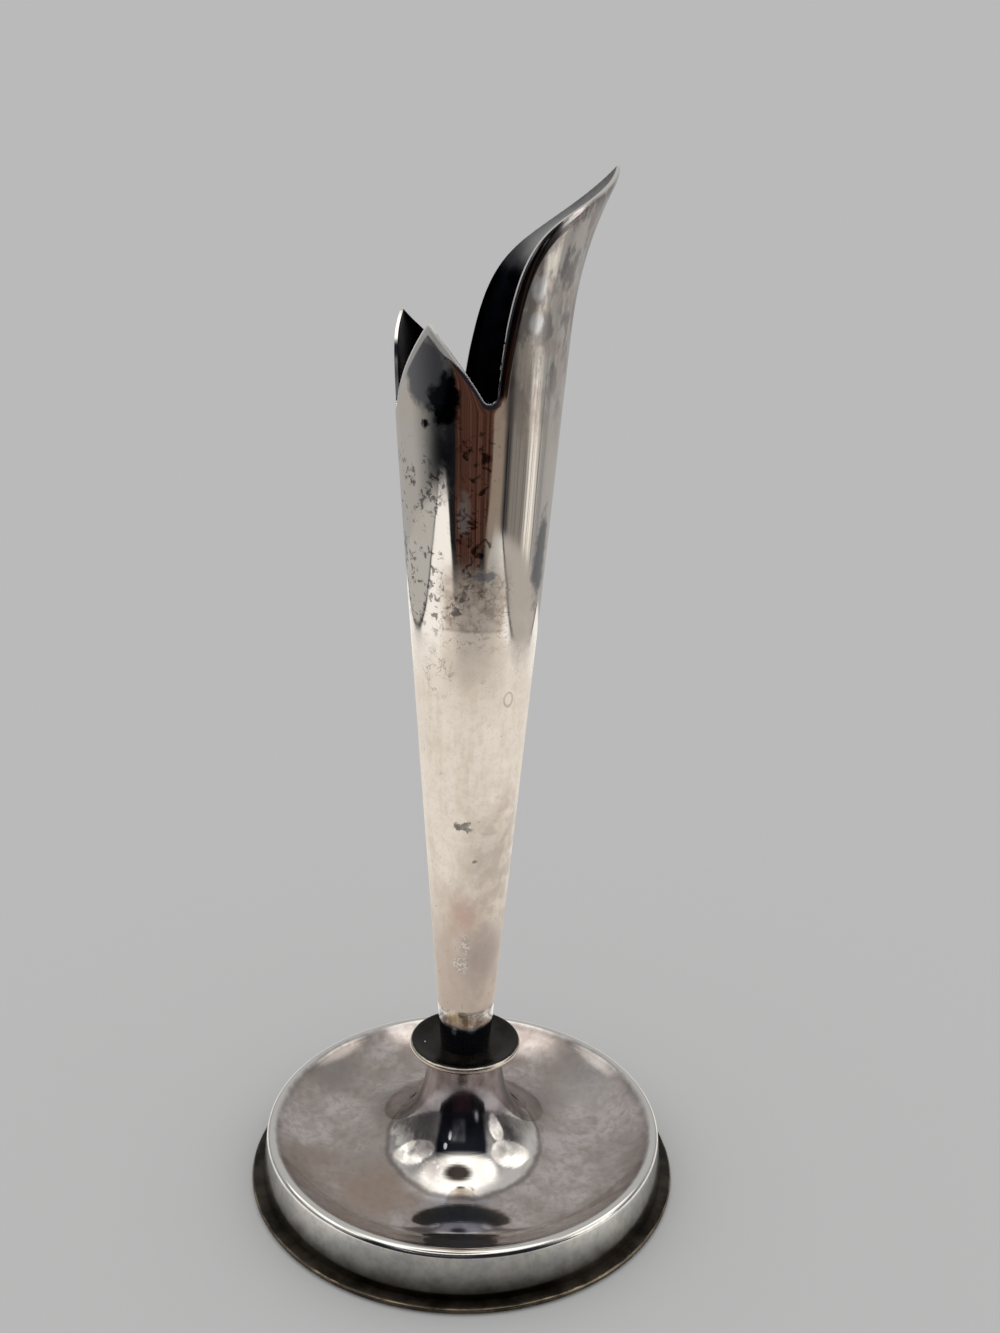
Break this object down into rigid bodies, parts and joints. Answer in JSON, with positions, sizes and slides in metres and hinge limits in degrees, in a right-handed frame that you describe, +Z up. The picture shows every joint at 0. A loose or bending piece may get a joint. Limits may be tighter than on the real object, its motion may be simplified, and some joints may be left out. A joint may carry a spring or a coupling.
{
  "type": "bud vase",
  "caption": "Tall slender trumpet vase with a pointed petal mouth, saucer collar and round spun base, for a single flower stem.",
  "frame": {"origin": "centre of the underside, on the surface that the vase stands on", "axes": "+Z up along the trumpet, +X towards the tip of the tall petal"},
  "size_m": [0.076, 0.076, 0.1725],
  "materials": {
    "trumpet_plate": "worn silver plate over brass, hazy below and polished with dark tarnish spots near the mouth",
    "base_plate": "worn silver plate over brass, mottled satin dish and polished bell",
    "collar_plate": "dark tarnished plate with a bright worn rim",
    "foot_plate": "dark tarnished plate worn through to brass at the edge",
    "bare_brass": "dull unplated brass",
    "bolt_steel": "plain zinc-grey steel",
    "felt": "dark green wool felt"
  },
  "bodies": {
    "root": {"trumpet_body": "trumpet_plate", "trumpet_plug": "bare_brass", "collar_disc": "collar_plate", "base_shell": "base_plate", "foot_ring": "foot_plate", "closing_plate": "bare_brass", "felt_pad": "felt", "clamp_bolt": "bolt_steel", "flat_washer": "bolt_steel", "spring_washer": "bolt_steel"}
  },
  "joints": []
}
